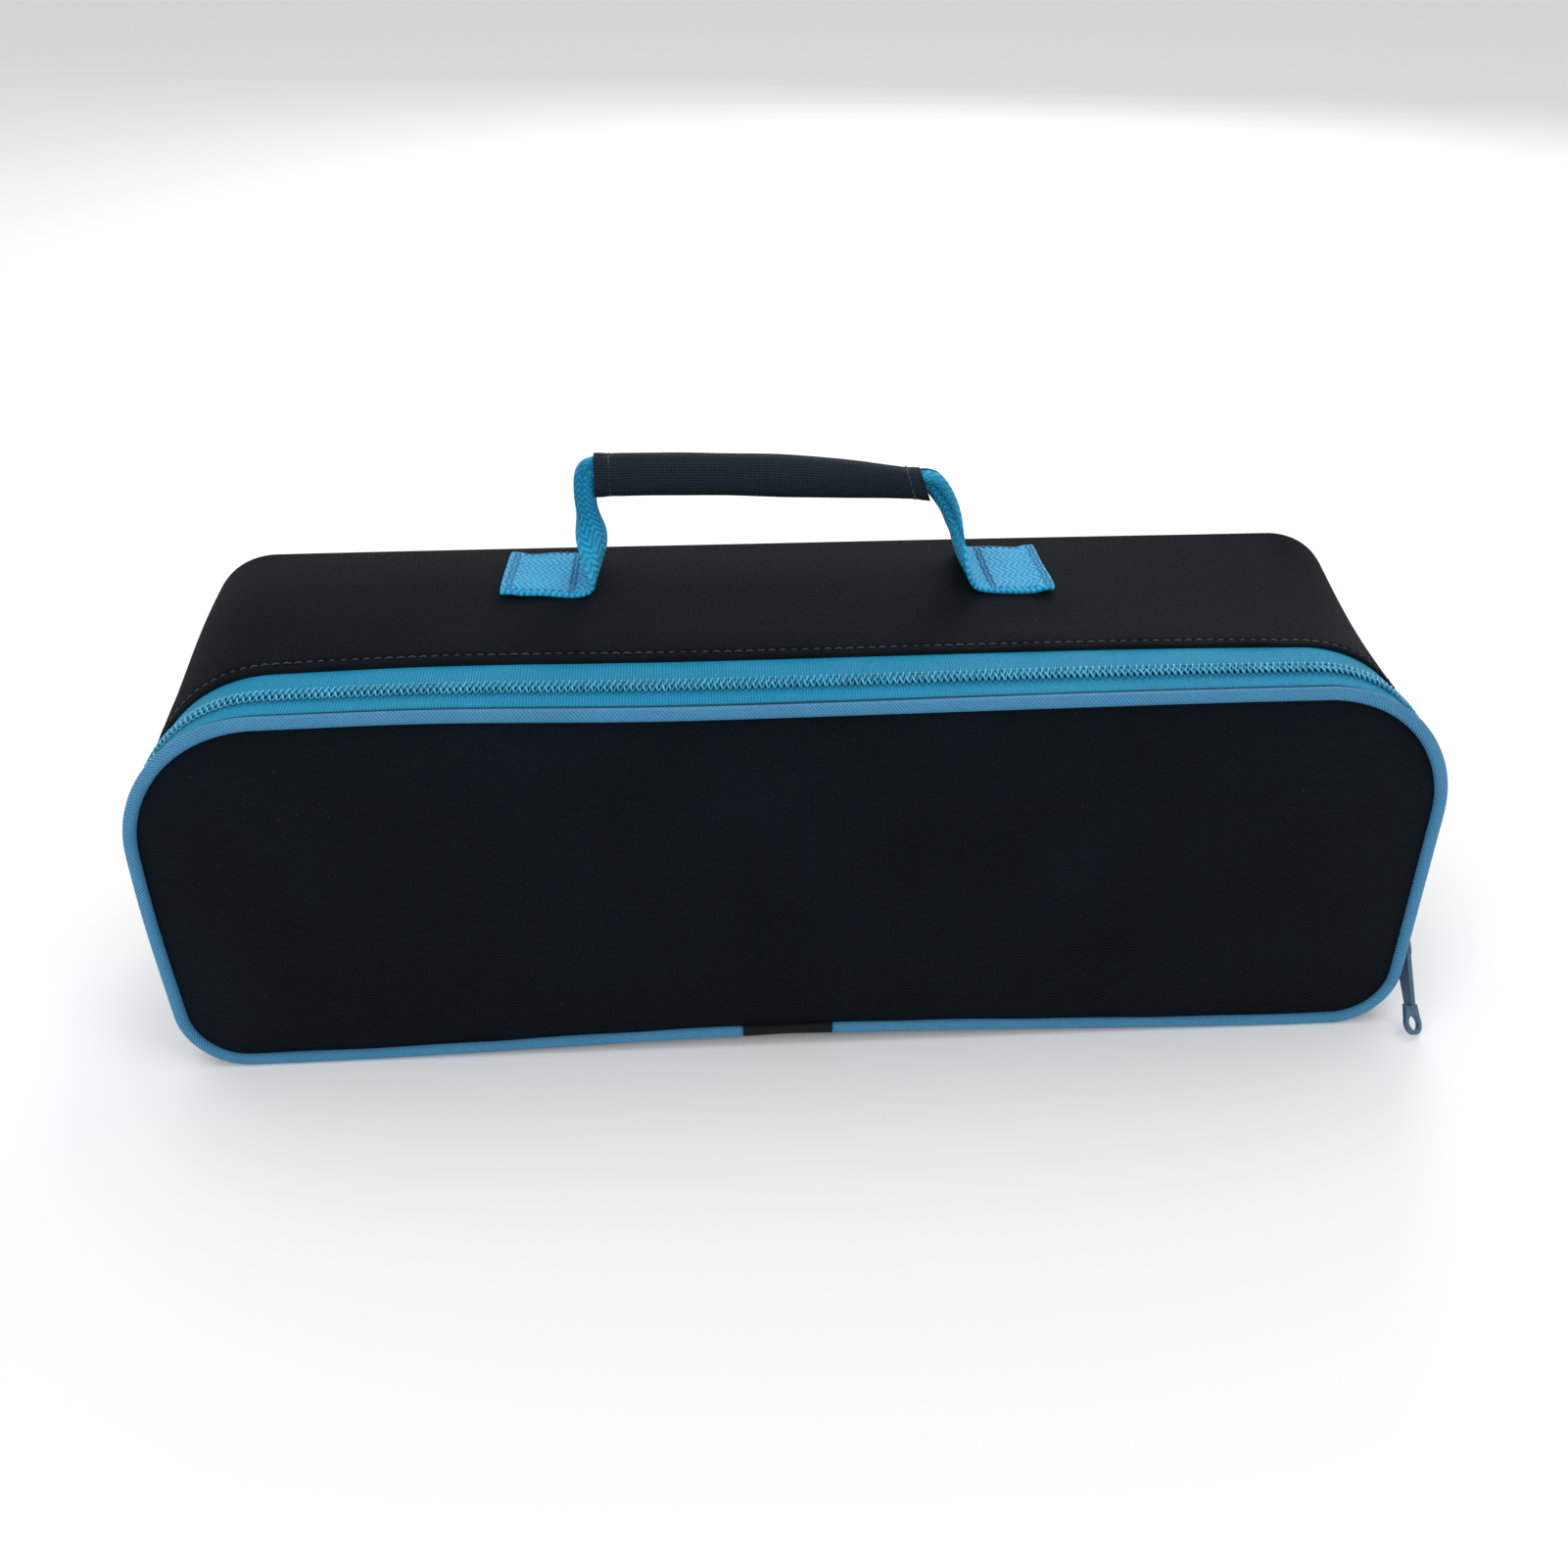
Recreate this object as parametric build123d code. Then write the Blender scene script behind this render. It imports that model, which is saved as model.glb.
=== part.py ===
from build123d import *
from math import cos, radians, sin
import os

# A slim padded carry bag for a set of bowls. Millimetres, +X along the bag to the right, +Y to
# its back, +Z up. The origin is the middle of the base, on the ground.
# The front panel is a lid: a zip runs round its two sides and its top, and the seam along its
# bottom edge is the hinge. The handle folds down to the front or to the back.

# Overall outline
LENGTH = 380.0
DEPTH = 120.0
HEIGHT = 120.0
BOTTOM_RADIUS = 20.0
FRONT_TOP_RADIUS = 42.0
BACK_TOP_RADIUS = 24.0
FRONT_Y = -DEPTH / 2
BACK_Y = DEPTH / 2

# Layers of a padded wall, as insets from the outline
SKIN_INSET = 0.4
FOAM_INSET = 1.2
LINING_INSET = 5.2
INNER_INSET = 5.8
SKIN = FOAM_INSET - SKIN_INSET
FOAM = LINING_INSET - FOAM_INSET
LINING = INNER_INSET - LINING_INSET
BOARD = 1.0
BOARD_HALF_LENGTH = 164.0
LAYER_GAP = 0.1

# Piping in the lid's edge seam, and the hinge line along the middle of its bottom run
PIPING_RADIUS = 2.2
PIPING_CORD_RADIUS = 1.3
PIPING_Y = FRONT_Y + PIPING_RADIUS
PIPING_BACK = FRONT_Y + 2 * PIPING_RADIUS
PIPING_GAP = 28.0
PIPING_GAP_X = -4.0

# Zip: two tapes on edge, each with a row of coil on its outside
ZIP_Y = FRONT_Y + 15.0
ZIP_BACK = FRONT_Y + 28.5
ZIP_END_Z = 6.0
COIL_GAP = 2.4
COIL_WIDTH = 2.6
COIL_HEIGHT = 1.6
TAPE = 0.8
STOP_LENGTH = 2.4

# Handle: webbing ends sewn to the top, two rising straps and a sleeved grip
WEBBING = 38.0
WEBBING_THICK = 1.6
HANDLE_Y = 24.0
PATCH_X = (-77.0, 70.5)
PATCH_LENGTH = 24.0
GRIP_CENTRE = (-7.0, HANDLE_Y, 154.9)
GRIP_TILT = 2.9
GRIP_LENGTH = 100.0
GRIP_DEPTH = 9.0
GRIP_HEIGHT = 13.5
GRIP_WALL = 1.0

# Zip slider on the right side, and its pull
SLIDER_Z = 24.0
SLIDER_LENGTH = 12.0
SLIDER_WIDTH = 10.0
PLATE = 1.4
CHANNEL_OUT = 0.4
PULL_PIVOT = Vector(193.8, ZIP_Y, 23.5)
PULL_EYE = Vector(193.7, -66.0, 4.6)
PULL_THICK = 1.3
PULL_TWIST = 60.0


def outline(inset, top_radius):
    """Rounded rectangle of the bag seen from the front, in X and Z."""
    sheet = Pos(0, HEIGHT / 2) * Rectangle(LENGTH - 2 * inset, HEIGHT - 2 * inset)
    corners = sheet.vertices().group_by(Axis.Y)
    low = fillet(corners[0], BOTTOM_RADIUS - inset)
    return fillet(low.vertices().group_by(Axis.Y)[-1], top_radius - inset)


def at_depth(sheet, y):
    """The sheet stood up in the XZ plane at depth y."""
    return Plane.XZ.offset(-y) * sheet


def plate(sheet, y0, y1):
    """The sheet as a plate between two depths."""
    return extrude(at_depth(sheet, y0), amount=-(y1 - y0))


def front_ring(outer, inner, y0, y1):
    """A band that follows the lid's outline, between two insets and two depths."""
    band = outline(outer, FRONT_TOP_RADIUS) - outline(inner, FRONT_TOP_RADIUS)
    return plate(band, y0, y1)


def depth_slab(y0, y1):
    """Everything between two depths."""
    size = 2 * LENGTH
    return Pos(0, (y0 + y1) / 2, 0) * Box(size, y1 - y0, size)


def above(z):
    """Everything above a height."""
    size = 2 * LENGTH
    return Pos(0, 0, z + size / 2) * Box(size, size, size)


def below(z):
    """Everything below a height."""
    size = 2 * LENGTH
    return Pos(0, 0, z - size / 2) * Box(size, size, size)


def tapered(inset):
    """The solid body of the bag behind the zip: its top corners tighten towards the back."""
    front = at_depth(outline(inset, FRONT_TOP_RADIUS), ZIP_BACK)
    back = at_depth(outline(inset, BACK_TOP_RADIUS), BACK_Y)
    return loft([front, back], ruled=True)


def wall(outer, inner, y0, y1):
    """One layer of the gusset, all the way round."""
    return (tapered(outer) - tapered(inner)) & depth_slab(y0, y1)


def gusset_parts():
    """The strip over the top and sides: woven skin, foam and lining."""
    skin_back = BACK_Y - SKIN
    foam_back = skin_back - FOAM
    side = above(ZIP_END_Z + LAYER_GAP / 2)
    return {
        "zip_gusset": wall(SKIN_INSET, FOAM_INSET, ZIP_BACK, skin_back) & side,
        "gusset_foam": wall(FOAM_INSET, LINING_INSET, ZIP_BACK, foam_back - LAYER_GAP) & side,
        "gusset_lining": wall(LINING_INSET, INNER_INSET, ZIP_BACK, foam_back - LINING) & side,
    }


def topstitch():
    """The line of thread just behind the zip."""
    stitch_y = ZIP_BACK + 3.0
    thread = 0.6
    ring = wall(0, SKIN_INSET, stitch_y, stitch_y + thread)
    return ring & above(ZIP_END_Z + LAYER_GAP / 2)


def base_parts():
    """The bottom: skin up to the zip's ends, a stiff board, foam and lining."""
    skin_back = BACK_Y - SKIN
    foam_back = skin_back - FOAM - LAYER_GAP
    low = below(ZIP_END_Z - LAYER_GAP / 2)
    hinge_edge = PIPING_BACK + 0.4
    apron = front_ring(0, FOAM_INSET, hinge_edge, ZIP_BACK) & low
    skin = wall(0, FOAM_INSET, ZIP_BACK, skin_back) & low
    board_back = foam_back - 1.0
    board_length = board_back - ZIP_BACK
    board_place = Pos(0, (board_back + ZIP_BACK) / 2, FOAM_INSET + BOARD / 2)
    board = board_place * Box(2 * BOARD_HALF_LENGTH, board_length, BOARD)
    foam = (wall(FOAM_INSET, LINING_INSET, ZIP_BACK, foam_back) & low) - board
    lining = wall(LINING_INSET, INNER_INSET, ZIP_BACK, foam_back - LINING) & low
    return {
        "base_gusset": apron + skin,
        "base_board": board,
        "base_foam": foam,
        "base_lining": lining,
    }


def back_parts():
    """The flat back panel and the binding over its seam on the inside."""
    skin_face = BACK_Y - SKIN
    foam_face = skin_face - FOAM
    lining_face = foam_face - LINING
    binding_depth = 2.4
    binding_width = 2.5
    inner = INNER_INSET + LAYER_GAP
    return {
        "back_panel": plate(outline(SKIN_INSET, BACK_TOP_RADIUS), skin_face, BACK_Y),
        "back_foam": tapered(FOAM_INSET + LAYER_GAP) & depth_slab(foam_face, skin_face),
        "back_lining": tapered(inner) & depth_slab(lining_face, foam_face),
        "back_seam_binding": wall(
            inner, inner + binding_width, lining_face - binding_depth, lining_face
        ),
    }


def zip_parts():
    """Both halves of the zip. The rows stand a little apart, where real teeth interlock."""
    tape_out = COIL_HEIGHT
    tape_in = tape_out + TAPE
    lid_edge = ZIP_Y - COIL_GAP / 2
    body_edge = ZIP_Y + COIL_GAP / 2
    tapes = above(ZIP_END_Z + LAYER_GAP)
    rows = above(ZIP_END_Z + LAYER_GAP + STOP_LENGTH)
    stops = above(ZIP_END_Z + LAYER_GAP) & below(ZIP_END_Z + STOP_LENGTH)
    lid_tape = front_ring(tape_out, tape_in, PIPING_BACK + 0.2, lid_edge)
    body_tape = front_ring(tape_out, tape_in, body_edge, ZIP_BACK)
    lid_row = front_ring(0, COIL_HEIGHT, lid_edge - COIL_WIDTH, lid_edge)
    body_row = front_ring(0, COIL_HEIGHT, body_edge, body_edge + COIL_WIDTH)
    return {
        "zip_tape_lid": lid_tape & tapes,
        "zip_tape_body": body_tape & tapes,
        "zip_coil_lid": lid_row & rows,
        "zip_coil_body": body_row & rows,
        "zip_end_stops": body_row & stops,
    }


def piping_path():
    """The piping's centre line, from one side of its gap round to the other."""
    side = LENGTH / 2 - PIPING_RADIUS
    top = HEIGHT - PIPING_RADIUS
    right_end = PIPING_GAP_X + PIPING_GAP / 2
    left_end = PIPING_GAP_X - PIPING_GAP / 2
    low = BOTTOM_RADIUS - PIPING_RADIUS
    high = FRONT_TOP_RADIUS - PIPING_RADIUS
    flat = [
        (right_end, PIPING_RADIUS),
        (side, PIPING_RADIUS),
        (side, top),
        (-side, top),
        (-side, PIPING_RADIUS),
        (left_end, PIPING_RADIUS),
    ]
    points = [Vector(x, PIPING_Y, z) for x, z in flat]
    return FilletPolyline(*points, radius=[low, high, high, low])


def piping_parts():
    """A fabric tube round a cord, and the short patch that closes its ends."""
    path = piping_path()
    start = Plane(origin=path @ 0, z_dir=path % 0)
    tube = sweep(start * Circle(PIPING_RADIUS), path=path)
    cord = sweep(start * Circle(PIPING_CORD_RADIUS), path=path)
    patch_place = Pos(PIPING_GAP_X, PIPING_Y, PIPING_RADIUS) * Rot(0, 90, 0)
    patch = patch_place * Cylinder(PIPING_RADIUS - 0.2, PIPING_GAP - 2 * LAYER_GAP)
    return {"piping_cover": tube - cord, "piping_cord": cord, "piping_join_patch": patch}


def lid_parts():
    """The flat layers of the lid, inside the piping, and the binding over its seam."""
    edge = 2 * PIPING_RADIUS
    skin_back = FRONT_Y + SKIN
    foam_back = skin_back + FOAM
    lining_back = foam_back + LINING
    sheet = outline(edge, FRONT_TOP_RADIUS)
    binding_out = COIL_HEIGHT + TAPE + 0.2
    binding_in = binding_out + 2.8
    binding_y = lining_back + LAYER_GAP
    return {
        "front_panel": plate(sheet, FRONT_Y, skin_back),
        "front_foam": plate(sheet, skin_back, foam_back),
        "front_lining": plate(sheet, foam_back, lining_back),
        "lid_seam_binding": front_ring(binding_out, binding_in, binding_y, binding_y + 2.5),
    }


def anchor_stitching(patch_x, z):
    """A stitched square with a cross in it, standing just proud of the webbing."""
    thread = 0.7
    height = 0.3
    across = PATCH_LENGTH - 5.0
    deep = WEBBING - 5.0
    frame = Rectangle(across, deep) - Rectangle(across - 2 * thread, deep - 2 * thread)
    diagonal = (across**2 + deep**2) ** 0.5 - 2 * thread
    slope = Vector(across, deep).get_angle(Vector(1, 0))
    cross = Rot(0, 0, slope) * Rectangle(diagonal, thread)
    cross += Rot(0, 0, -slope) * Rectangle(diagonal, thread)
    return extrude(Pos(patch_x, HANDLE_Y, z) * (frame + cross), amount=height)


def anchor_parts():
    """The webbing ends sewn flat to the top, their thread and the patches inside."""
    top = HEIGHT - SKIN_INSET
    inside = HEIGHT - INNER_INSET
    backing = 1.0
    left_x, right_x = PATCH_X
    patch = Box(PATCH_LENGTH, WEBBING, WEBBING_THICK)
    back_patch = Box(PATCH_LENGTH + 6.0, WEBBING + 4.0, backing)
    seam = top + WEBBING_THICK
    stitches = [anchor_stitching(x, seam) for x in PATCH_X]
    backs = [Pos(x, HANDLE_Y, inside - backing / 2) * back_patch for x in PATCH_X]
    return {
        "handle_anchor_left": Pos(left_x, HANDLE_Y, top + WEBBING_THICK / 2) * patch,
        "handle_anchor_right": Pos(right_x, HANDLE_Y, top + WEBBING_THICK / 2) * patch,
        "anchor_stitching": Compound(children=stitches),
        "handle_backing_patches": Compound(children=backs),
    }


def strap(stations):
    """A rising strap: thickness and width at each height, narrow where it turns at the base."""
    sections = []
    for x, z, thick, wide in stations:
        sections.append(Pos(x, HANDLE_Y, z) * Rectangle(thick, wide))
    return loft(sections, ruled=True)


def handle_parts():
    """Two straps, the folded webbing through the grip and the sleeve round it."""
    left = [(-62, 122.6, 2, 5), (-62.5, 138, 2.2, 13), (-60.2, 150, 2.6, 11), (-59.8, 163.8, 2.6, 8)]
    right = [(56, 122.6, 2, 5), (54, 138, 2.2, 13), (47.4, 146, 2.6, 11), (46.4, 158.8, 2.6, 8)]
    place = Pos(*GRIP_CENTRE) * Rot(0, GRIP_TILT, 0)
    core = Box(GRIP_LENGTH, GRIP_DEPTH - 2 * GRIP_WALL, GRIP_HEIGHT - 2 * GRIP_WALL)
    core = fillet(core.edges().filter_by(Axis.X), 2.4)
    sleeve = Box(GRIP_LENGTH, GRIP_DEPTH, GRIP_HEIGHT)
    sleeve = fillet(sleeve.edges().filter_by(Axis.X), 3.4) - core
    return {
        "strap_left": strap(left),
        "strap_right": strap(right),
        "grip_core": place * core,
        "grip_sleeve": place * sleeve,
    }


def slider_plate(x):
    """A shield-shaped plate of the slider, wide end down, from x outwards."""
    half = SLIDER_WIDTH / 2
    end = SLIDER_LENGTH / 2
    neck = half - 1.4
    points = [(-half, 0), (-half + 0.8, -end), (half - 0.8, -end), (half, 0), (neck, end), (-neck, end)]
    shield = fillet(Polygon(*points, align=None).vertices(), 1.2)
    return extrude(Plane.YZ.offset(x) * Pos(ZIP_Y, SLIDER_Z) * shield, amount=PLATE)


def zip_slider():
    """Two plates joined by the wedge between the rows, with a bridge for the pull."""
    outside = LENGTH / 2 + CHANNEL_OUT
    tape_inside = LENGTH / 2 - COIL_HEIGHT - TAPE
    inside = tape_inside - CHANNEL_OUT - PLATE
    plates = slider_plate(outside) + slider_plate(inside)
    wedge_deep = outside - tape_inside + 2 * CHANNEL_OUT
    wedge_x = (outside + tape_inside) / 2
    wedge_z = SLIDER_Z - SLIDER_LENGTH / 2 + 2.5
    wedge = Pos(wedge_x, ZIP_Y, wedge_z) * Box(wedge_deep, 1.2, 3.0)
    lip_y = ZIP_Y + COIL_GAP / 2 + COIL_WIDTH + 0.9
    lip = Pos(outside - 0.7, lip_y, SLIDER_Z - 1.5) * Box(1.8, 0.7, 6.0)
    top = outside + PLATE
    arch = Pos(top + 2.1, ZIP_Y, SLIDER_Z) * Box(4.4, 1.6, 9.0)
    arch = fillet(arch.edges().filter_by(Axis.Y).group_by(Axis.X)[-1], 1.4)
    hole = Pos(top + 1.7, ZIP_Y, SLIDER_Z) * Box(3.4, 2.0, 6.0)
    return plates + wedge + lip + (arch - hole)


def zip_pull():
    """A stamped pull: a wide loop round the bridge and a waist, with a round eye twisted to the front."""
    along = (PULL_EYE - PULL_PIVOT).normalized()
    outward = (Vector(1, 0, 0) - along * along.X).normalized()
    forward = along.cross(outward)
    reach = (PULL_EYE - PULL_PIVOT).length
    neck = reach - 5.5
    head = Pos(3.2, 0) * RectangleRounded(8.4, 10.4, 2.0)
    window = Pos(3.6, 0) * RectangleRounded(5.4, 7.8, 1.0)
    waist = Polygon((6.6, -4.4), (neck, -2.6), (neck, 2.6), (6.6, 4.4), align=None)
    flat = Plane(origin=PULL_PIVOT, x_dir=along, z_dir=outward)
    loop = extrude(flat * (head + waist - window), amount=PULL_THICK / 2, both=True)
    turn = radians(PULL_TWIST)
    face = outward * cos(turn) + forward * sin(turn)
    shoulder = Polygon((neck - 0.7, -2.8), (reach, -3.7), (reach, 3.7), (neck - 0.7, 2.8), align=None)
    tip = shoulder + Pos(reach, 0) * Circle(3.75) - Pos(reach, 0) * Circle(2.4)
    twisted = Plane(origin=PULL_PIVOT, x_dir=along, z_dir=face)
    return loop + extrude(twisted * tip, amount=PULL_THICK / 2, both=True)


def all_parts():
    """Every piece of the bag by name."""
    parts = {}
    parts.update(gusset_parts())
    parts["gusset_topstitch"] = topstitch()
    parts.update(base_parts())
    parts.update(back_parts())
    parts.update(zip_parts())
    parts.update(piping_parts())
    parts.update(lid_parts())
    parts.update(anchor_parts())
    parts.update(handle_parts())
    parts["slider_body"] = zip_slider()
    parts["pull_tab"] = zip_pull()
    return parts


os.makedirs("parts", exist_ok=True)
for name, shape in all_parts().items():
    export_step(shape, f"parts/{name}.step")
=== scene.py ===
import math

import bmesh
import bpy
import numpy as np
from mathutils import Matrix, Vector


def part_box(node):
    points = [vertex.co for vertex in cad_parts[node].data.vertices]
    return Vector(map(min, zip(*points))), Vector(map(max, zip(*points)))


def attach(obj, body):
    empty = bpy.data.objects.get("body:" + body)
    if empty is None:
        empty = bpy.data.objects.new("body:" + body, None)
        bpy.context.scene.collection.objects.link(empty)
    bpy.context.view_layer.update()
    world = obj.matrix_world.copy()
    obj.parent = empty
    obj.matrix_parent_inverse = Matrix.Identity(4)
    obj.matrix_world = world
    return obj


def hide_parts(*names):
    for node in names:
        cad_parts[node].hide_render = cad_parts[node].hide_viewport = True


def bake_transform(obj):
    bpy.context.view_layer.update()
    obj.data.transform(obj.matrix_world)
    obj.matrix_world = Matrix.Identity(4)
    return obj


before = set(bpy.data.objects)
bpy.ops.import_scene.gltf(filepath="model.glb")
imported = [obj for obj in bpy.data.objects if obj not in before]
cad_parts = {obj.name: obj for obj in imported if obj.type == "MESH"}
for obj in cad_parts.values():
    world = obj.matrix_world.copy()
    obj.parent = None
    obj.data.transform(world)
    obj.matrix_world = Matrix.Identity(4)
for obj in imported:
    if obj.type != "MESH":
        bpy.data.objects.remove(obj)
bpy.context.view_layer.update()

# ---------------------------------------------------------------- sizes, in metres
MM = 0.001
_, panel_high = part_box("back_panel")
piping_low, piping_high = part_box("piping_cover")
_, tape_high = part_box("zip_tape_lid")
body_tape_low, body_tape_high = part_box("zip_tape_body")
anchor_low, anchor_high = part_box("handle_anchor_left")
right_anchor_low, right_anchor_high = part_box("handle_anchor_right")
sleeve_low, sleeve_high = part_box("grip_sleeve")
patch_low, patch_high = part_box("piping_join_patch")
stitch_low, stitch_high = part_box("gusset_topstitch")

LENGTH = piping_high.x - piping_low.x
HEIGHT = piping_high.z - piping_low.z
FRONT = piping_low.y
BACK = panel_high.y
LOW_RADIUS = 20 * MM
FRONT_RADIUS = 42 * MM
BACK_RADIUS = 24 * MM
PIPING_RADIUS = (piping_high.y - piping_low.y) / 2
PIPING_Y = FRONT + PIPING_RADIUS
ZIP_BACK = body_tape_high.y
ZIP_Y = (tape_high.y + body_tape_low.y) / 2
HANDLE_Y = (anchor_low.y + anchor_high.y) / 2
TOP = anchor_low.z
WEBBING = anchor_high.y - anchor_low.y
COIL_PITCH = 1.8 * MM
FLAT_TOP = HEIGHT - 0.3 * MM
ROLL_WIDTH = 17 * MM
WEBBING_THICK = 1.6 * MM
# where the sewn ends of the webbing start and end in x
LEFT_PATCH = (anchor_low.x + 1.8 * MM, anchor_high.x + 1.2 * MM)
RIGHT_PATCH = (right_anchor_low.x + 2.4 * MM, right_anchor_high.x)
# the ends of the zip, as values of rim's t
ZIP_START = 1.507
ZIP_END = 7.493
ZIP_OVERLAP = 0.02


# ---------------------------------------------------------------- shapes
def smooth(t):
    """0 below 0, 1 above 1 and an even ramp between."""
    t = np.clip(t, 0, 1)
    return t * t * (3 - 2 * t)


def rim(t, inset, top_radius):
    """Points and outward normals of the bag's outline, seen from the front.
    t runs from 0 to 9, from the middle of the bottom by the right side and the top."""
    t, inset, top_radius = np.broadcast_arrays(np.asarray(t, float) % 9, inset, top_radius)
    half = LENGTH / 2 - inset
    low, high = inset, HEIGHT - inset
    r_low = np.maximum(LOW_RADIUS - inset, 0.5 * MM)
    r_top = np.maximum(top_radius - inset, 0.5 * MM)
    part = np.floor(t).astype(int)
    f = t - part
    quarter = math.pi / 2
    x, z, nx, nz = (np.zeros(t.shape) for _ in range(4))
    turns = {
        1: (-quarter, 1, r_low),
        3: (0.0, 1, r_top),
        5: (quarter, -1, r_top),
        7: (math.pi, -1, r_low),
    }
    straights = {
        0: (f * (half - r_low), low, 0, -1),
        2: (half, low + r_low + f * (high - r_top - low - r_low), 1, 0),
        4: ((half - r_top) * (1 - 2 * f), high, 0, 1),
        6: (-half, high - r_top - f * (high - r_top - low - r_low), -1, 0),
        8: (-(half - r_low) * (1 - f), low, 0, -1),
    }
    for k, (px, pz, ax, az) in straights.items():
        on = part == k
        x, z = np.where(on, px, x), np.where(on, pz, z)
        nx, nz = np.where(on, ax, nx), np.where(on, az, nz)
    for k, (start, side, radius) in turns.items():
        on = part == k
        angle = start + quarter * f
        middle_z = low + radius if k in (1, 7) else high - radius
        x = np.where(on, side * (half - radius) + radius * np.cos(angle), x)
        z = np.where(on, middle_z + radius * np.sin(angle), z)
        nx, nz = np.where(on, np.cos(angle), nx), np.where(on, np.sin(angle), nz)
    return x, z, nx, nz


def rim_stops(start, end, step, inset=0.0):
    """Evenly spaced values of rim's t, and the length along the rim at each."""
    t = np.linspace(start, end, 6000)
    x, z, _, _ = rim(t, inset, FRONT_RADIUS)
    run = np.concatenate([[0], np.cumsum(np.hypot(np.diff(x), np.diff(z)))])
    count = max(2, int(round(run[-1] / step)) + 1)
    along = np.linspace(0, run[-1], count)
    return np.interp(along, run, t), along


def corner_radius(y):
    """The top corners tighten from the zip to the back."""
    share = np.clip((np.asarray(y, float) - ZIP_BACK) / (BACK - ZIP_BACK), 0, 1)
    return FRONT_RADIUS + (BACK_RADIUS - FRONT_RADIUS) * share


def settle(x, y, z):
    """How the soft bag gives: a crowned top, swelling sides and a lifted front bottom edge."""
    # where a point is on the bag, as shares from 0 to 1
    behind = np.clip((y - ZIP_BACK) / (BACK - ZIP_BACK), 0, 1)
    swell = np.sin(math.pi * behind ** 0.9)
    middle = np.clip(1 - np.abs(x / (0.49 * LENGTH)) ** 3.5, 0, 1)
    upper = smooth((z - 0.45 * HEIGHT) / (0.5 * HEIGHT))
    side = smooth((np.abs(x) - 0.36 * LENGTH) / (0.13 * LENGTH))
    belly = np.sin(math.pi * np.clip(z / HEIGHT, 0, 1))
    near_front = 1 - smooth((y - FRONT) / (0.6 * (BACK - FRONT)))
    off_zip = np.clip((y - ZIP_BACK) / (20 * MM), 0, 1)
    # the top behind the zip
    crown = 4.6 * MM * middle * swell * upper
    ripple = 0.5 * MM * np.sin(x / 0.041 + 0.8) * np.sin(y / 0.027 + 0.5) * swell * upper
    dent = -1.1 * MM * np.exp(-(((x + 0.012) / 0.05) ** 2)) * swell * upper
    ridge = 2.3 * MM * np.exp(-(((y - ZIP_BACK) / (17 * MM)) ** 2)) * middle * upper
    lean = -3.4 * MM * np.clip(x / (0.4 * LENGTH), -1, 1) * upper * swell
    # the sides, where the left one keeps clear of the zip and bows out at the front
    bulge = np.where(x > 0, 2.3 * MM, 2.4 * MM * off_zip) * side * belly * swell
    spread = np.where(x < 0, -1.5 * MM, 0) * side * near_front * belly ** 2
    # the front, whose bottom edge lifts and whose top edge is wavy
    arch = np.cos(np.clip(x / (0.43 * LENGTH), -1, 1) * math.pi / 2) ** 2
    lift = 3.6 * MM * arch * near_front * (1 - smooth(z / (0.5 * HEIGHT)))
    wave = 0.45 * MM * np.sin(x / 0.058 - 0.6) * near_front * upper
    hump = 1.3 * MM * np.exp(-(((x + 0.1) / 0.045) ** 2)) * near_front * upper
    return x + bulge + spread, y, z + crown + ridge + ripple + dent + lean + lift + wave + hump


def headings(path):
    """Direction of a path at each of its points."""
    run = np.gradient(path, axis=0)
    return run / np.linalg.norm(run, axis=1)[:, None]


def lengths(path):
    """Length of a path up to each of its points."""
    return np.concatenate([[0], np.cumsum(np.linalg.norm(np.diff(path, axis=0), axis=1))])


def box_faces(nt, ns, close_t=False, close_s=False):
    """Quads of a grid of nt by ns points."""
    t = np.arange(nt if close_t else nt - 1)
    s = np.arange(ns if close_s else ns - 1)
    a, b = np.meshgrid(t, s, indexing="ij")
    a2, b2 = (a + 1) % nt, (b + 1) % ns
    quads = np.stack([a * ns + b, a2 * ns + b, a2 * ns + b2, a * ns + b2], -1)
    return quads.reshape(-1, 4).tolist()


def capped_faces(nt, ns, first=0):
    """Faces of a tube of nt rings of ns points, closed at both ends."""
    faces = box_faces(nt, ns, close_s=True)
    faces.append(list(range(ns))[::-1])
    faces.append([(nt - 1) * ns + i for i in range(ns)])
    return [[first + i for i in face] for face in faces]


def sandwich_faces(nt, ns, first=0):
    """Faces of two grids of nt by ns points, joined round their edges."""
    count = nt * ns
    grid = box_faces(nt, ns)
    faces = grid + [[i + count for i in face[::-1]] for face in grid]
    loop = [i * ns for i in range(nt)] + [(nt - 1) * ns + j for j in range(1, ns)]
    loop += [i * ns + ns - 1 for i in range(nt - 2, -1, -1)] + list(range(ns - 2, 0, -1))
    for a, b in zip(loop, loop[1:] + loop[:1]):
        faces.append([a, b, b + count, a + count])
    return [[first + i for i in face] for face in faces]


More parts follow.
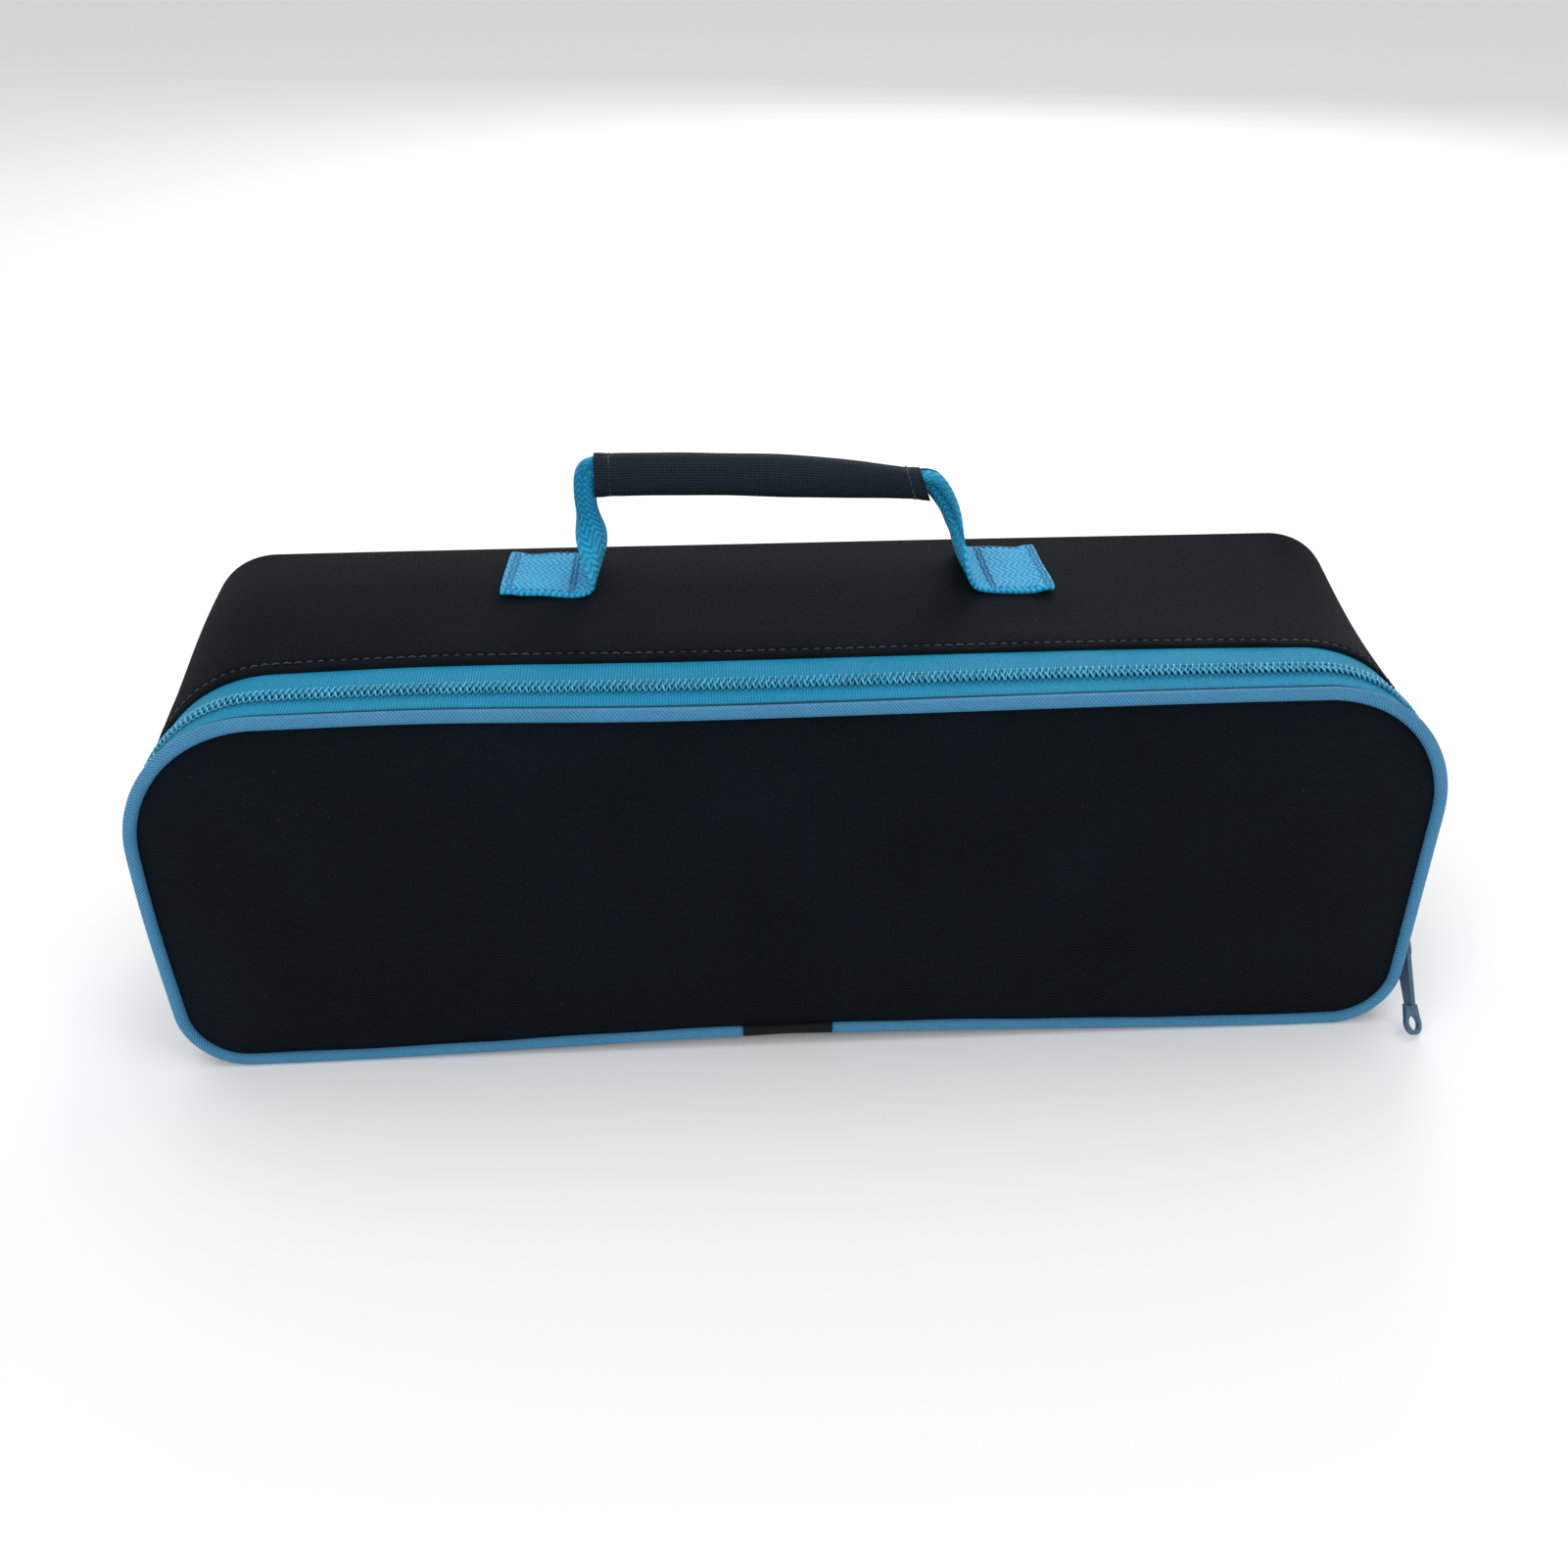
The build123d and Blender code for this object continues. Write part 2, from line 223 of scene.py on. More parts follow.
def add_mesh(name, points, faces, material, uv):
    """A smooth-shaded mesh object whose faces look outwards. uv is one pair for each point, in metres."""
    mesh = bpy.data.meshes.new(name)
    mesh.from_pydata(np.asarray(points).reshape(-1, 3).tolist(), [], faces)
    mesh.validate()
    layer = mesh.uv_layers.new(name="Cloth")
    index = np.zeros(len(mesh.loops), int)
    mesh.loops.foreach_get("vertex_index", index)
    layer.data.foreach_set("uv", np.asarray(uv, np.float32).reshape(-1, 2)[index].ravel())
    mesh.polygons.foreach_set("use_smooth", [True] * len(mesh.polygons))
    mesh.materials.append(material)
    bm = bmesh.new()
    bm.from_mesh(mesh)
    bmesh.ops.recalc_face_normals(bm, faces=bm.faces)
    bm.to_mesh(mesh)
    bm.free()
    obj = bpy.data.objects.new(name, mesh)
    bpy.context.scene.collection.objects.link(obj)
    return obj


def loft(name, points, material, along, close_t=False):
    """A skin over a grid of points, closed round its section and capped at open ends."""
    nt, ns = points.shape[:2]
    faces = box_faces(nt, ns, close_t=True, close_s=True) if close_t else capped_faces(nt, ns)
    across = lengths(points[nt // 2])
    uv = np.stack(np.broadcast_arrays(along[:, None], across[None, :]), -1)
    return add_mesh(name, points, faces, material, uv)


def band(name, start, end, section, material, step=2.5 * MM, close_t=False, wrinkle=None):
    """A strip round the bag's rim. section is a closed list of (y, inset) in metres, and wrinkle
    gives what is added to the inset."""
    y = np.array([p[0] for p in section])[None, :]
    inset = np.array([p[1] for p in section])[None, :]
    t, along = rim_stops(start, end, step)
    if close_t:
        t, along = t[:-1], along[:-1]
    t = t[:, None]
    if wrinkle is not None:
        inset = inset + wrinkle(along[:, None], y, inset)
    x, z, _, _ = rim(t, inset, corner_radius(y))
    y = np.broadcast_to(y, x.shape)
    points = np.stack(settle(x, y, z), -1)
    return loft(name, points, material, along, close_t)


def tube(name, path, normals, radius, material, sides):
    """A round tube along a path."""
    run = headings(path)
    up = normals - (normals * run).sum(1)[:, None] * run
    up /= np.linalg.norm(up, axis=1)[:, None]
    side = np.cross(run, up)
    angle = np.linspace(0, 2 * math.pi, sides, endpoint=False)
    radius = np.broadcast_to(np.asarray(radius, float), (len(path),))[:, None, None]
    ring = np.cos(angle)[None, :, None] * side[:, None, :] + np.sin(angle)[None, :, None] * up[:, None, :]
    points = path[:, None, :] + radius * ring
    around = angle * float(radius.mean())
    uv = np.stack(np.broadcast_arrays(lengths(path)[:, None], around[None, :]), -1)
    return add_mesh(name, points, capped_faces(len(path), sides), material, uv)


def stitches(name, centres, runs, ups, length, radius, material):
    """A row of separate thread stitches, each a small rounded bar."""
    sides, rings = 6, 5
    angle = np.linspace(0, 2 * math.pi, sides, endpoint=False)
    at = np.linspace(-1, 1, rings)
    fat = np.array([0.35, 0.9, 1.0, 0.9, 0.35])
    sink = np.array([-0.8, 0.0, 0.25, 0.0, -0.8])
    points, faces, uv = [], [], []
    for centre, run, up in zip(np.array(centres), np.array(runs), np.array(ups)):
        side = np.cross(run, up)
        faces += capped_faces(rings, sides, len(points) * rings * sides)
        ring = (np.cos(angle)[:, None] * side + np.sin(angle)[:, None] * up)[None]
        middle = centre + at[:, None, None] * run * length / 2 + (sink * radius)[:, None, None] * up
        points.append(middle + ring * (fat * radius)[:, None, None])
        uv.append(np.stack(np.broadcast_arrays(at[:, None] * length, angle[None, :] * radius), -1))
    return add_mesh(name, np.concatenate(points), faces, material, np.concatenate(uv))


def rim_path(t, y, inset, lean=0.0):
    """Settled points on the bag's rim and their outward normals, which lean towards the back."""
    x, z, nx, nz = rim(t, inset, corner_radius(y))
    return np.stack(settle(x, y + 0 * x, z), -1), np.stack([nx, lean + 0 * nx, nz], -1)


def rim_row(y, inset, start, end, pitch):
    """Centres, directions and outward normals of a row of stitches round the rim."""
    t, _ = rim_stops(start, end, pitch)
    centre, up = rim_path(t, y, inset)
    return centre, headings(centre), up


def edge_distance(x, z, inset, top_radius):
    """How far a point of a panel is inside its rounded edge."""
    half = LENGTH / 2 - inset
    low, high = inset, HEIGHT - inset
    radius = np.where(z > HEIGHT / 2, top_radius - inset, LOW_RADIUS - inset)
    dx = np.abs(x) - (half - radius)
    dz = np.where(z > HEIGHT / 2, z - (high - radius), (low + radius) - z)
    outer = np.hypot(np.maximum(dx, 0), np.maximum(dz, 0))
    return radius - outer - np.minimum(np.maximum(dx, dz), 0)


def panel(name, inset, top_radius, face, back, material, columns=150, rows=44):
    """A flat cushion-like panel: face and back give y for the distance from the edge, x and z."""
    # columns and rows are closer together towards the edges
    half = LENGTH / 2 - inset
    quarter = 0.999 * math.pi / 2
    lean = np.linspace(-1, 1, columns)
    x = half * (0.55 * lean + 0.45 * np.sin(lean * quarter) / math.sin(quarter))
    r_top, r_low = top_radius - inset, LOW_RADIUS - inset
    over = np.maximum(np.abs(x) - (half - r_top), 0)
    under = np.maximum(np.abs(x) - (half - r_low), 0)
    high = HEIGHT - inset - r_top + np.sqrt(np.maximum(r_top**2 - over**2, 0))
    low = inset + r_low - np.sqrt(np.maximum(r_low**2 - under**2, 0))
    share = np.linspace(0, 1, rows)
    share = 0.5 - 0.5 * (0.6 * np.cos(share * math.pi) + 0.4 * (1 - 2 * share))
    z = low[:, None] + (high - low)[:, None] * share[None, :]
    x = np.broadcast_to(x[:, None], z.shape)
    inside = np.maximum(edge_distance(x, z, inset, top_radius), 0)
    layers = []
    for shape in (face, back):
        y = shape(inside, x, z)
        layers.append(np.stack(settle(x, y, z), -1))
    uv = np.stack([np.stack([x, z], -1)] * 2)
    return add_mesh(name, np.stack(layers), sandwich_faces(*z.shape), material, uv)


# ---------------------------------------------------------------- materials
class Shading:
    """A principled material and short ways to wire it."""

    def __init__(self, name, colour, roughness, sheen=0.0, coat=0.0, specular=0.5):
        self.material = bpy.data.materials.new(name)
        self.material.use_nodes = True
        self.tree = self.material.node_tree
        self.shader = self.tree.nodes["Principled BSDF"]
        self.shader.inputs["Base Color"].default_value = (*colour, 1)
        self.shader.inputs["Roughness"].default_value = roughness
        self.shader.inputs["Sheen Weight"].default_value = sheen
        self.shader.inputs["Sheen Roughness"].default_value = 0.45
        self.shader.inputs["Coat Weight"].default_value = coat
        self.shader.inputs["Specular IOR Level"].default_value = specular

    def put(self, socket, value):
        """Links or sets a socket."""
        if isinstance(value, bpy.types.NodeSocket):
            self.tree.links.new(value, socket)
        else:
            socket.default_value = value

    def math(self, operation, a, b=0.0):
        """A math node."""
        node = self.tree.nodes.new("ShaderNodeMath")
        node.operation = operation
        for socket, value in zip(node.inputs, (a, b)):
            self.put(socket, value)
        return node.outputs[0]

    def cloth_uv(self):
        """Along and across the cloth, in metres."""
        node = self.tree.nodes.new("ShaderNodeUVMap")
        node.uv_map = "Cloth"
        split = self.tree.nodes.new("ShaderNodeSeparateXYZ")
        self.put(split.inputs[0], node.outputs[0])
        return node.outputs[0], split.outputs[0], split.outputs[1]

    def place(self):
        """Position on the object, in metres."""
        return self.tree.nodes.new("ShaderNodeTexCoord").outputs["Object"]

    def noise(self, where, size, detail, rough):
        """Noise from 0 to 1 with features of about the given size in metres."""
        node = self.tree.nodes.new("ShaderNodeTexNoise")
        self.put(node.inputs["Vector"], where)
        node.inputs["Scale"].default_value = 1 / size
        node.inputs["Detail"].default_value = detail
        node.inputs["Roughness"].default_value = rough
        return node.outputs["Fac"]

    def ramp(self, value, low, high, start, end):
        """value carried from start-end to low-high, clamped."""
        node = self.tree.nodes.new("ShaderNodeMapRange")
        self.put(node.inputs["Value"], value)
        for key, number in (("From Min", start), ("From Max", end), ("To Min", low), ("To Max", high)):
            node.inputs[key].default_value = number
        return node.outputs["Result"]

    def mix(self, share, a, b):
        """Colour a where share is 0 and b where it is 1."""
        node = self.tree.nodes.new("ShaderNodeMix")
        node.data_type = "RGBA"
        self.put(node.inputs["Factor"], share)
        for socket, value in ((node.inputs[6], a), (node.inputs[7], b)):
            self.put(socket, (*value, 1) if isinstance(value, tuple) else value)
        return node.outputs[2]

    def colour(self, value):
        """Sets the base colour."""
        self.put(self.shader.inputs["Base Color"], value)

    def rough(self, value):
        """Sets the roughness."""
        self.put(self.shader.inputs["Roughness"], value)

    def bump(self, height, distance, strength=1.0):
        """Adds relief over any relief already there."""
        node = self.tree.nodes.new("ShaderNodeBump")
        node.inputs["Distance"].default_value = distance
        node.inputs["Strength"].default_value = strength
        self.put(node.inputs["Height"], height)
        last = self.shader.inputs["Normal"]
        if last.is_linked:
            self.put(node.inputs["Normal"], last.links[0].from_socket)
        self.put(last, node.outputs[0])


def linear(hexa):
    """Linear colour of a hex string."""
    parts = [int(hexa[i : i + 2], 16) / 255 for i in (0, 2, 4)]
    return tuple(c / 12.92 if c <= 0.04045 else ((c + 0.055) / 1.055) ** 2.4 for c in parts)


def over_under(m, u, v, pitch):
    """Height of a plain weave: threads going over and under each other."""
    a = m.math("MULTIPLY", u, 1 / pitch)
    b = m.math("MULTIPLY", v, 1 / pitch)
    warp = m.math("ABSOLUTE", m.math("SINE", m.math("MULTIPLY", a, math.pi)))
    weft = m.math("ABSOLUTE", m.math("SINE", m.math("MULTIPLY", b, math.pi)))
    turn = m.math("ADD", m.math("FLOOR", a), m.math("FLOOR", b))
    odd = m.math("MULTIPLY", m.math("FRACT", m.math("MULTIPLY", turn, 0.5)), 2.0)
    warp_over = m.math("MULTIPLY", warp, m.math("SUBTRACT", 1.0, odd))
    weft_over = m.math("MULTIPLY", weft, odd)
    cross = m.math("ADD", m.math("MULTIPLY", warp_over, weft), m.math("MULTIPLY", weft_over, warp))
    ridge = m.math("ADD", warp_over, weft_over)
    return m.math("ADD", m.math("MULTIPLY", cross, 0.5), m.math("MULTIPLY", ridge, 0.5))


def woven(name, dark, light, pitch, roughness, sheen, depth, crease=0.5):
    """Plain woven cloth with uneven threads, soft creases and a little lint and wear."""
    m = Shading(name, linear(dark), roughness, sheen=sheen, specular=0.035)
    uv, u, v = m.cloth_uv()
    where = m.place()
    threads = over_under(m, u, v, pitch)
    slub = m.noise(uv, 2.2 * pitch, 3.0, 0.65)
    patchy = m.noise(where, 0.045, 3.0, 0.55)
    lint = m.ramp(m.noise(where, 0.0011, 1.0, 0.4), 0.0, 1.0, 0.74, 0.8)
    share = m.math("ADD", m.math("MULTIPLY", threads, 0.45), m.math("MULTIPLY", slub, 0.4))
    share = m.math("ADD", share, m.math("MULTIPLY", patchy, 0.3))
    base = m.mix(m.ramp(share, 0.0, 1.0, 0.25, 0.95), linear(dark), linear(light))
    m.colour(m.mix(m.math("MULTIPLY", lint, 0.04), base, linear("8c9094")))
    m.rough(m.ramp(slub, roughness - 0.08, roughness + 0.1, 0.3, 0.7))
    m.bump(m.noise(where, 0.03, 2.0, 0.5), 0.0012, crease)
    m.bump(slub, 0.00035, 0.5)
    m.bump(threads, depth)
    return m.material


def ribbed(name, dark, light, pitch, slant, roughness, sheen, depth, fine=0.00055, turn=1.0):
    """Woven tape: ribs at a slant that turns back every so often, fine cross threads and rib tops coloured
    lighter as a painted highlight.
    """
    m = Shading(name, linear(dark), roughness, sheen=sheen, specular=0.16)
    uv, u, v = m.cloth_uv()
    where = m.place()
    zigzag = m.math("PINGPONG", v, turn)
    run = m.math("ADD", u, m.math("MULTIPLY", zigzag, slant))
    rib_and_highlight = m.math("SINE", m.math("MULTIPLY", run, 2 * math.pi / pitch))
    rib_and_highlight = m.ramp(rib_and_highlight, 0.0, 1.0, -1.0, 1.0)
    thread = m.ramp(m.math("SINE", m.math("MULTIPLY", v, 2 * math.pi / fine)), 0.0, 1.0, -1.0, 1.0)
    slub = m.noise(uv, 0.0013, 3.0, 0.6)
    patchy = m.noise(where, 0.02, 2.0, 0.5)
    # the rib tops are mixed towards the light colour: a painted highlight along the ribs, over their real
    # woven pattern
    share = m.math("ADD", m.math("MULTIPLY", rib_and_highlight, 0.42), m.math("MULTIPLY", thread, 0.14))
    share = m.math("ADD", share, m.math("MULTIPLY", slub, 0.32))
    share = m.math("ADD", share, m.math("MULTIPLY", patchy, 0.18))
    m.colour(m.mix(m.ramp(share, 0.0, 1.0, 0.2, 0.85), linear(dark), linear(light)))
    m.rough(m.ramp(slub, roughness + 0.1, roughness - 0.06, 0.3, 0.7))
    m.bump(slub, 0.0003, 0.5)
    m.bump(thread, depth * 0.35)
    m.bump(rib_and_highlight, depth)
    return m.material


def thread_look(name, dark, light):
    """Twisted sewing thread."""
    m = Shading(name, linear(dark), 0.55, sheen=0.3)
    _, u, v = m.cloth_uv()
    twist = m.math("SINE", m.math("MULTIPLY", m.math("ADD", u, v), 2 * math.pi / 0.0006))
    twist = m.ramp(twist, 0.0, 1.0, -1.0, 1.0)
    m.colour(m.mix(twist, linear(dark), linear(light)))
    m.bump(twist, 0.00012)
    return m.material


def plastic(name, dark, light, roughness, coat=0.0, worn=0.0):
    """Moulded or enamelled finish with faint mottling, scuffs and rubbed edges."""
    m = Shading(name, linear(dark), roughness, coat=coat)
    m.shader.inputs["Coat Roughness"].default_value = 0.12
    where = m.place()
    mottle = m.noise(where, 0.004, 3.0, 0.6)
    scuff = m.noise(where, 0.0009, 4.0, 0.7)
    base = m.mix(m.ramp(mottle, 0.0, 1.0, 0.3, 0.7), linear(dark), linear(light))
    if worn:
        edge = m.tree.nodes.new("ShaderNodeNewGeometry").outputs["Pointiness"]
        rubbed = m.math("MULTIPLY", m.ramp(edge, 0.0, worn, 0.52, 0.6), m.ramp(scuff, 0.2, 1.0, 0.4, 0.6))
        base = m.mix(rubbed, base, linear("6f90a6"))
    m.colour(base)
    m.rough(m.ramp(scuff, roughness - 0.06, roughness + 0.14, 0.35, 0.65))
    m.bump(scuff, 0.00008, 0.6)
    return m.material


black_cloth = woven("black_polyester", "05090c", "131b23", 0.00062, 0.7, 0.0, 0.00022)
sleeve_cloth = woven("black_sleeve", "10161b", "303a44", 0.0008, 0.6, 0.0, 0.00028, 0.8)
lining_cloth = woven("lining", "14171a", "2b3036", 0.0004, 0.5, 0.04, 0.0001, 1.0)
binding_cloth = ribbed("binding", "05070a", "10141a", 0.0011, 0.0, 0.6, 0.0, 0.00018)
webbing_cloth = ribbed("webbing", "0c7cb2", "32c4f6", 0.0019, 0.55, 0.42, 0.03, 0.00042, turn=0.004)
tape_cloth = ribbed("zip_tape", "06698e", "0f93ba", 0.00085, 0.0, 0.5, 0.0, 0.00014, 0.0005)
# darker blue of the fold beside the piping: a real fold whose darker colour is painted shade where the tape
# meets the piping
shade_line_cloth = ribbed("tape_fold_painted_shade", "08384f", "145d7c", 0.00085, 0.0, 0.6, 0.03, 0.0001, 0.0005)
piping_cloth = ribbed("piping", "25638c", "5094bc", 0.0011, 0.9, 0.4, 0.02, 0.00014, 0.0004)
coil_plastic = plastic("coil", "1683a9", "40b4d6", 0.34, coat=0.2)
blue_thread = thread_look("webbing_thread", "08618f", "1685bb")
black_thread = thread_look("black_thread", "07090c", "14181d")
pull_enamel = plastic("pull_enamel", "0d3850", "174c69", 0.4, coat=0.12, worn=0.3)
stop_plastic = plastic("stop", "2f86a8", "3f9cc0", 0.4)


# ---------------------------------------------------------------- pieces: lid
def place_piece(obj, body, slot, *nodes, fill=None):
    """Rides a body and stands for CAD nodes, which it hides."""
    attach(obj, body)
    if nodes:
        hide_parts(*nodes)
    return obj


def lid_face(inside, x, z):
    """The front panel's face: tucked in at the piping, softly crowned, a little uneven."""
    crown = 3.1 * MM * (1 - np.exp(-inside / (5 * MM))) + 1.0 * MM * smooth(inside / (45 * MM))
    dimple = 0.4 * MM * np.sin(x / 0.037 + 1.0) * np.sin(z / 0.026 + 0.6) * smooth(inside / (12 * MM))
    tuck = 0.35 * MM * np.sin(x / 0.0065) * np.exp(-inside / (4 * MM)) * smooth(inside / (1.5 * MM))
    return PIPING_Y + 0.3 * MM - crown + dimple + tuck


def level(y):
    """A flat face for a panel, at y."""
    return lambda inside, x, z: np.full_like(inside, y)


def lid_lining_face(inside, x, z):
    """The lid's lining: flat at its edge and lightly quilted."""
    quilt = 0.35 * MM * np.sin(x / 0.031) * np.sin(z / 0.022) * smooth(inside / (10 * MM))
    return PIPING_Y + 3.5 * MM + 0.5 * MM * smooth(inside / (15 * MM)) + quilt


def make_lid():
    """Front panel, its lining, the piping and the patch over the piping's join."""
    back = level(PIPING_Y + 2.9 * MM)
    cushion = panel("front_cushion", 3.1 * MM, FRONT_RADIUS, lid_face, back, black_cloth)
    place_piece(cushion, "lid", "black_weave", "front_panel", "front_foam", fill=0.9)
    near = level(PIPING_Y + 3.0 * MM)
    lining = panel("lid_lining", 5.2 * MM, FRONT_RADIUS, near, lid_lining_face, lining_cloth, 90, 30)
    place_piece(lining, "lid", "lining_cloth", "front_lining", fill=0.3)

    gap_low = patch_low.x / (LENGTH / 2 - LOW_RADIUS)
    gap_high = patch_high.x / (LENGTH / 2 - LOW_RADIUS)
    t, along = rim_stops(gap_high, 9 + gap_low, 1.6 * MM, PIPING_RADIUS)
    y = PIPING_Y + 0.12 * MM * np.sin(along / 0.043)
    path, normals = rim_path(t, y, 0.9 * PIPING_RADIUS)
    fat = PIPING_RADIUS * (0.885 + 0.015 * np.sin(along / 0.019))
    piping = tube("piping", path, normals, fat, piping_cloth, sides=20)
    place_piece(piping, "lid", "blue_piping", "piping_cover", "piping_cord")

    t, along = rim_stops(gap_low, gap_high, 1.2 * MM, PIPING_RADIUS)
    path, normals = rim_path(t, PIPING_Y, PIPING_RADIUS)
    fat = PIPING_RADIUS * (0.86 + 0.06 * np.cos(along / along[-1] * 2 * math.pi))
    patch = tube("piping_join", path, normals, fat, binding_cloth, sides=16)
    place_piece(patch, "lid", "binding_tape", "piping_join_patch")


def tape_section(front, back, outer, valley):
    """A thin tape lying on the rim, lower at both edges and deepest beside the seam in front of it."""
    y = np.linspace(front, back, 12)
    edge = np.minimum(y - front, back - y)
    top = outer + 0.35 * MM * np.exp(-edge / (1.1 * MM)) + valley * np.exp(-((y - front) / (1.9 * MM)) ** 2)
    return list(zip(y, top)) + list(zip(y[::-1], top[::-1] + 0.7 * MM))


def make_zip():
    """Both tapes, a fold beside the piping coloured darker as painted shade, and both rows of coil."""
    section = tape_section(PIPING_Y + 1.4 * MM, ZIP_Y - 0.65 * MM, 1.3 * MM, 1.5 * MM)
    lid_tape = band("zip_tape_front", ZIP_START, ZIP_END, section, tape_cloth)
    place_piece(lid_tape, "lid", "blue_zip_tape", "zip_tape_lid")
    # the fold cord beside the piping is coloured darker than the tape as painted shade along the piping's
    # edge
    t, _ = rim_stops(ZIP_START, ZIP_END, 1.5 * MM)
    path, normals = rim_path(t, PIPING_Y + 3.3 * MM, 1.5 * MM)
    seam = tube("tape_fold_painted_shade", path, normals, 0.42 * MM, shade_line_cloth, sides=8)
    place_piece(seam, "lid", "blue_zip_tape")
    section = tape_section(ZIP_Y + 0.65 * MM, ZIP_BACK + 2.0 * MM, 1.3 * MM, 0)
    body_tape = band("zip_tape_back", ZIP_START, ZIP_END, section, tape_cloth)
    place_piece(body_tape, "bag_body", "blue_zip_tape", "zip_tape_body")

    start, end = ZIP_START + ZIP_OVERLAP, ZIP_END - ZIP_OVERLAP
    for name, side, shift, body, node in (
        ("zip_coil_front", -1, 0.0, "lid", "zip_coil_lid"),
        ("zip_coil_back", 1, 0.5, "bag_body", "zip_coil_body"),
    ):
        t, along = rim_stops(start, end, COIL_PITCH / 12)
        phase = 2 * math.pi * (along / COIL_PITCH + shift)
        y = ZIP_Y + side * (1.3 * MM + 1.15 * MM * np.cos(phase))
        path, normals = rim_path(t, y, 0.75 * MM - 0.5 * MM * np.sin(phase), lean=0.35)
        coil = tube(name, path, normals, 0.33 * MM, coil_plastic, sides=6)
        place_piece(coil, body, "blue_coil", node)
        row = rim_row(ZIP_Y + side * 3.1 * MM, 1.25 * MM, start, end, 2.6 * MM)
        sewn = stitches(name + "_stitches", *row, 2.0 * MM, 0.2 * MM, blue_thread)
        place_piece(sewn, body, "blue_thread")


# ---------------------------------------------------------------- pieces: body
def shell_section():
    """The padded wall from its hem beside the zip to the back seam."""
    front = [
        (ZIP_BACK + 0.4 * MM, 2.3 * MM),
        (ZIP_BACK - 0.3 * MM, 1.5 * MM),
        (ZIP_BACK - 0.2 * MM, 0.7 * MM),
        (ZIP_BACK + 0.5 * MM, 0.25 * MM),
        (ZIP_BACK + 1.6 * MM, 0.15 * MM),
        (ZIP_BACK + 2.4 * MM, 0.4 * MM),
        (ZIP_BACK + 3.0 * MM, 0.75 * MM),
        (ZIP_BACK + 3.6 * MM, 0.4 * MM),
        (ZIP_BACK + 4.6 * MM, 0.2 * MM),
    ]
    middle = [(y, 0.3 * MM) for y in np.linspace(ZIP_BACK + 7 * MM, BACK - 4 * MM, 30)]
    back = [
        (BACK - 2.4 * MM, 0.4 * MM),
        (BACK - 1.2 * MM, 0.9 * MM),
        (BACK - 0.5 * MM, 1.8 * MM),
        (BACK - 0.4 * MM, 3.0 * MM),
        (BACK - 1.2 * MM, 4.9 * MM),
    ]
    inner = [(y, 5.1 * MM) for y in np.linspace(BACK - 6 * MM, ZIP_BACK + 3 * MM, 24)]
    return front + middle + back + inner + [(ZIP_BACK + 1.2 * MM, 4.4 * MM)]


def gather(along, y, inset):
    """Soft folds across the wall where it goes round the corners."""
    outer = inset < 1.4 * MM
    near_hem = np.exp(-((y - ZIP_BACK) / (14 * MM)) ** 2)
    return np.where(outer, 0.22 * MM * np.sin(along / 0.0052) * near_hem, 0)


def back_face(inside, x, z):
    """The back panel's face: tucked in at its seam and nearly flat."""
    return BACK - 1.6 * MM + 1.8 * MM * (1 - np.exp(-inside / (4 * MM))) + 0.2 * MM * np.sin(x / 0.04)


def make_body():
    """Padded wall, its topstitching, the base with its hinge edge, and the back panel."""
    shell = band("gusset_shell", ZIP_START, ZIP_END, shell_section(), black_cloth, 2.2 * MM, wrinkle=gather)
    place_piece(shell, "bag_body", "black_weave", "zip_gusset", "gusset_foam", fill=0.7)
    row = rim_row((stitch_low.y + stitch_high.y) / 2, 0.55 * MM, ZIP_START, ZIP_END, 3.2 * MM)
    sewn = stitches("topstitching", *row, 2.5 * MM, 0.26 * MM, black_thread)
    place_piece(sewn, "bag_body", "black_thread", "gusset_topstitch")

    front = PIPING_Y + 0.4 * MM
    base_section = [(y, 0.1 * MM) for y in np.linspace(front, BACK - 3 * MM, 40)]
    base_section += [(BACK - 1.0 * MM, 0.9 * MM), (BACK - 0.6 * MM, 2.6 * MM), (BACK - 1.4 * MM, 4.8 * MM)]
    base_section += [(y, 5.0 * MM) for y in np.linspace(BACK - 6 * MM, FRONT + 12 * MM, 24)]
    base_section += [(FRONT + 8.5 * MM, 3.4 * MM), (FRONT + 7 * MM, 1.6 * MM), (front, 1.0 * MM)]
    start, end = ZIP_END - 9 - ZIP_OVERLAP, ZIP_START + ZIP_OVERLAP
    base = band("base_shell", start, end, base_section, black_cloth, 2.2 * MM)
    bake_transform(base)
    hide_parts("base_gusset", "base_foam", "base_board")

    inner = level(BACK - 4.7 * MM)
    back = panel("back_cushion", 1.6 * MM, BACK_RADIUS, back_face, inner, black_cloth)
    place_piece(back, "bag_body", "black_weave", "back_panel", "back_foam", fill=0.8)


def lining_ripple(along, y, inset):
    """Unevenness of a lining on its inner side."""
    return np.where(inset > 5.4 * MM, 0.3 * MM * np.sin(along / 0.011) * np.sin(y / 0.017 + 1), 0)


def lining_section(front):
    """A thin lining from front to the back seam."""
    y = np.linspace(front, BACK - 5.4 * MM, 24)
    return [(v, 5.15 * MM) for v in y] + [(v, 5.75 * MM) for v in y[::-1]]


def back_lining_face(inside, x, z):
    """The back panel's lining: flat at its edge and lightly quilted."""
    quilt = 0.3 * MM * np.sin(x / 0.029) * np.sin(z / 0.021)
    return BACK - 5.4 * MM - 0.4 * MM * smooth(inside / (14 * MM)) + quilt * smooth(inside / (10 * MM))


def squared(value, power):
    """A sine or cosine pushed outwards, so that a round section becomes squarer."""
    return np.sign(value) * np.abs(value) ** power


